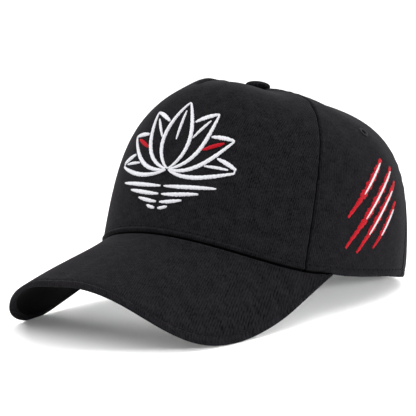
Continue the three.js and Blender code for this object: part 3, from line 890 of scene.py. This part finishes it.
# Blackened steel: a dark lacquered metal, brushed along the sleeve, with a dull glint on its edges
clasp_steel, tree, shader = new_material("blackened_steel")
place = node(tree, "TexCoord", output="Object")
along_brush = (1 / brush_mark["long"], 1 / brush_mark["long"], 1 / brush_mark["wide"])
stretched = node(tree, "Mapping", {"Vector": place, "Scale": along_brush})
brushed = node(tree, "TexNoise", {"Vector": stretched, "Scale": 1.0, "Detail": 3.0})
worn = node(tree, "MapRange", {"Value": brushed, "To Min": 0.32, "To Max": 0.5})
colour = node(tree, "Mix", {0: brushed, 6: linear("#4a4845"), 7: linear("#6b6864")}, 2, data_type="RGBA")
bump = node(tree, "Bump", {"Strength": 0.15, "Distance": 0.05 * mm, "Height": brushed})
feed(tree, shader, {"Base Color": colour, "Metallic": 1.0, "Roughness": worn, "Normal": bump})
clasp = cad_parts["strap_clasp"]
clasp.data.materials.clear()
clasp.data.materials.append(clasp_steel)

# Front emblem
# Raised satin stitch in white rayon thread on the front panel: an open lotus drawn in line, with rows of
# ripples under it and a red vein in one petal on each side. The drawing is flat, in millimetres.
emblem_y = 50.8 * mm  # the emblem's middle, along the cloth above the visor seam
emblem_half = 45 * mm
petals = [  # angle from upright, length, half width, and how far it curls outwards
    {"turn": 0, "length": 44, "half": 11.0, "curl": 0, "vein": "white"},
    {"turn": 29, "length": 45, "half": 10.5, "curl": 3, "vein": "white"},
    {"turn": 54, "length": 46, "half": 9.5, "curl": 5, "vein": "red"},
    {"turn": 76, "length": 48, "half": 8.0, "curl": 7, "vein": "white"},
]
flower_base = -10
petal_gap = 1.8
ripples = [
    {"y": -17.5, "half": 37, "sag": 3.6, "width": 2.6},
    {"y": -23, "half": 27, "sag": 3.2, "width": 2.6},
    {"y": -28.5, "half": 17, "sag": 2.6, "width": 2.4},
    {"y": -33.5, "half": 8, "sag": 1.6, "width": 2.2},
]
ripple_start = 1.3
stroke_width = 2.7
vein_width = {"white": 1.9, "red": 2.66}
vein_part = slice(25, 52)  # of the points along a petal
shortest_run = 5
stroke_height = 1.15 * mm
satin = {"step": 0.22 * mm, "sunk": 0.12 * mm, "under": 0.5 * mm, "ridge": 0.05, "ragged": 0.12}


def petal_side(row, side, grow=0.0):
    """One edge of a petal, or its middle line for side 0, from its base to its tip."""
    share = np.linspace(0, 1, 60)
    out = side * (row["half"] + grow) * np.sin(np.pi * share**0.85) ** 0.85 * (1 - 0.15 * share)
    angle = np.radians(row["turn"] + row["curl"] * 2.2 * share)
    step = np.concatenate([[0], np.diff(share * (row["length"] + grow))])
    x = np.cumsum(step * np.sin(angle)) + out * np.cos(angle)
    y = flower_base + np.cumsum(step * np.cos(angle)) - out * np.sin(angle)
    return np.stack([x, y], -1)


def inside(points, outline):
    """Which of the points lie inside a closed outline."""
    x = points[:, :1]
    y = points[:, 1:]
    x0, y0 = outline.T
    x1, y1 = np.roll(outline, -1, 0).T
    crossed = ((y0 > y) != (y1 > y)) & (x < (x1 - x0) * (y - y0) / (y1 - y0 + 1e-12) + x0)
    return crossed.sum(1) % 2 == 1


def shown_runs(line, covers):
    """The stretches of a line that no petal in front of it covers."""
    hidden = np.zeros(len(line), dtype=bool)
    for cover in covers:
        hidden |= inside(line, cover)
    cuts = np.flatnonzero(np.diff(hidden)) + 1
    runs = zip(np.split(line, cuts), np.split(hidden, cuts))
    return [run for run, gone in runs if not gone[0] and len(run) >= shortest_run]


strokes = []  # each as its line, its width and its colour
covers = []
for row in petals:
    new_covers = []
    for mirror in (1,) if row["turn"] == 0 else (1, -1):
        flip = np.array([mirror, 1])
        lines = [(petal_side(row, side), stroke_width, "white") for side in (1, -1)]
        lines.append((petal_side(row, 0)[vein_part], vein_width[row["vein"]], row["vein"]))
        for line, width, colour in lines:
            strokes += [(run, width, colour) for run in shown_runs(line * flip, covers)]
        sides = [petal_side(row, 1, petal_gap), petal_side(row, -1, petal_gap)[::-1]]
        new_covers.append(np.concatenate(sides) * flip)
    covers += new_covers
for row in ripples:
    x = np.linspace(ripple_start, row["half"], 30)
    y = row["y"] - row["sag"] * np.cos(np.pi * x / (2 * row["half"]))
    strokes += [(np.stack([side * x, y], -1), row["width"], "white") for side in (1, -1)]

front_up = np.linspace(0, 0.62, 63)
front_azimuth = np.radians(np.linspace(-60, 60, 241))
front_climb = running_length(crown_outer(0.0, front_up), 0)


def lay_on_front(line):
    """A line of the flat drawing, in millimetres, as azimuths and heights up the crown."""
    up = np.interp(line[:, 1] * mm + emblem_y, front_climb, front_up)
    x = np.clip(line[:, 0] * mm, -emblem_half, emblem_half)
    across = running_length(crown_outer(front_azimuth, up[:, None]), 1)
    across = across - across[:, len(front_azimuth) // 2, None]
    return np.array([np.interp(*each, front_azimuth) for each in zip(x, across)]), up


def satin_part(azimuth, up, left, right, height):
    """A raised band of thread laid along a line on the crown. left, right and height are functions of the
    share of its length."""
    points, outward = on_crown(azimuth, up)
    length = running_length(points, 0)
    at = np.linspace(0, length[-1], max(int(length[-1] / satin["step"]), 8))
    points = at_lengths(points, length, at)
    outward = unit(at_lengths(outward, length, at))
    across = unit(np.cross(outward, np.gradient(points, axis=0)))
    share = at / length[-1]
    spread = np.linspace(-1, 1, 9)
    half = np.where(spread < 0, left(share)[:, None], right(share)[:, None])
    thread_ridge = 1 + satin["ridge"] * np.cos(2 * math.pi * at / satin_pitch)[:, None]
    waver = at / (0.33 * mm) + 2 * np.sin(at / (1.2 * mm))
    uneven = thread_ridge + satin["ragged"] * np.sin(waver[:, None] + spread)
    spots = points[:, None] + across[:, None] * (spread * half * uneven)[..., None]
    outward = np.broadcast_to(outward[:, None], spots.shape)
    ground = land(spots, outward)
    dome = height(share)[:, None] * thread_ridge * np.sqrt(1 - spread**2) - satin["sunk"]
    top = ground + outward * dome[..., None]
    under = ground[:, 4:5] - outward[:, :1] * satin["under"]
    loop = np.concatenate([top, under], 1)
    uv_top = np.stack(np.broadcast_arrays(at[:, None], spread * half), -1)
    uv = np.concatenate([uv_top, uv_top[:, 4:5]], 1)
    return loop, tube_faces(*loop.shape[:2], flip=True), uv


def tapered(width):
    """Half the width of a stroke along its length, drawn out at both ends."""
    return lambda share: width / 2 * (0.3 + 0.7 * np.sin(np.pi * np.clip(share, 0.001, 0.999)) ** 0.55)


white_thread = embroidery_thread("white_embroidery_thread", "#a2a2aa", "#e2e2e6", 0.6, 0.1)
red_thread = embroidery_thread("red_embroidery_thread", "#560410", "#bc0a1d", 0.7, 0.0)
emblem = {"white": [], "red": []}
for line, width, colour in strokes:
    azimuth, up = lay_on_front(line)
    half = tapered(width * mm)
    high = lambda share, half=half: stroke_height * np.sqrt(half(share) / (stroke_width / 2 * mm))
    emblem[colour].append(satin_part(azimuth, up, half, half, high))
build_mesh("front_emblem_white", emblem["white"], white_thread)
build_mesh("front_emblem_red", emblem["red"], red_thread)

# Side slashes
# Four long torn strokes of red satin stitch low on the left side panel, with ragged edges, each with a
# narrow white stroke sewn over it.
slashes = [
    {"top": (99.9, 0.366), "foot": (75.7, 0.137), "width": 5.0 * mm, "core": (0.07, 0.65), "bow": 0.6 * mm},
    {"top": (107.4, 0.34), "foot": (76.2, 0.059), "width": 5.3 * mm, "core": (0.06, 0.69), "bow": 1.2 * mm},
    {"top": (109.2, 0.284), "foot": (83.3, 0.05), "width": 5.1 * mm, "core": (0.14, 0.77), "bow": 1.0 * mm},
    {"top": (108.9, 0.211), "foot": (93.8, 0.066), "width": 4.2 * mm, "core": (0.15, 0.69), "bow": 1.4 * mm},
]
torn = {"notched": 0.72, "notch": 0.2, "nick": 0.08, "tail": (0.62, 0.8), "thinner": 0.28}
slash_height = {"ends": 0.45 * mm, "swell": 0.3 * mm}
core = {"width": 1.9 * mm, "height": 1.25 * mm}


def ragged(width, phase):
    """Half the width of a torn stroke: narrow at its top, notched in its middle, with a plain tail."""

    def half(share):
        body = np.sin(np.pi * np.clip(share * 0.9 + 0.05, 0, 1)) ** 0.4
        deep = np.where(share < torn["notched"], torn["notch"], torn["nick"])
        notch = 1 + deep * np.sin(43 * share + phase) + 0.1 * np.sin(97 * share + 2 * phase)
        tail = 1 - torn["thinner"] * smooth(share, *torn["tail"])
        return width / 2 * body * notch * tail

    return half


red_parts = []
core_parts = []
share = np.linspace(0, 1, 60)
for count, row in enumerate(slashes):
    azimuth = np.radians(row["top"][0] + (row["foot"][0] - row["top"][0]) * share)
    bow = row["bow"] / crown_height * np.sin(np.pi * share)
    up = row["top"][1] + (row["foot"][1] - row["top"][1]) * share - bow
    left = ragged(row["width"], 1.3 * count)
    right = ragged(row["width"], 2.1 * count + 0.8)
    high = lambda share: slash_height["ends"] + slash_height["swell"] * np.sin(np.pi * share)
    red_parts.append(satin_part(azimuth, up, left, right, high))
    start, end = row["core"]
    kept = (share >= start) & (share <= end)
    half = tapered(core["width"])
    high = lambda share: np.full(len(share), core["height"])
    core_parts.append(satin_part(azimuth[kept], up[kept], half, half, high))
build_mesh("side_slashes_red", red_parts, red_thread)
build_mesh("side_slashes_white", core_parts, white_thread)
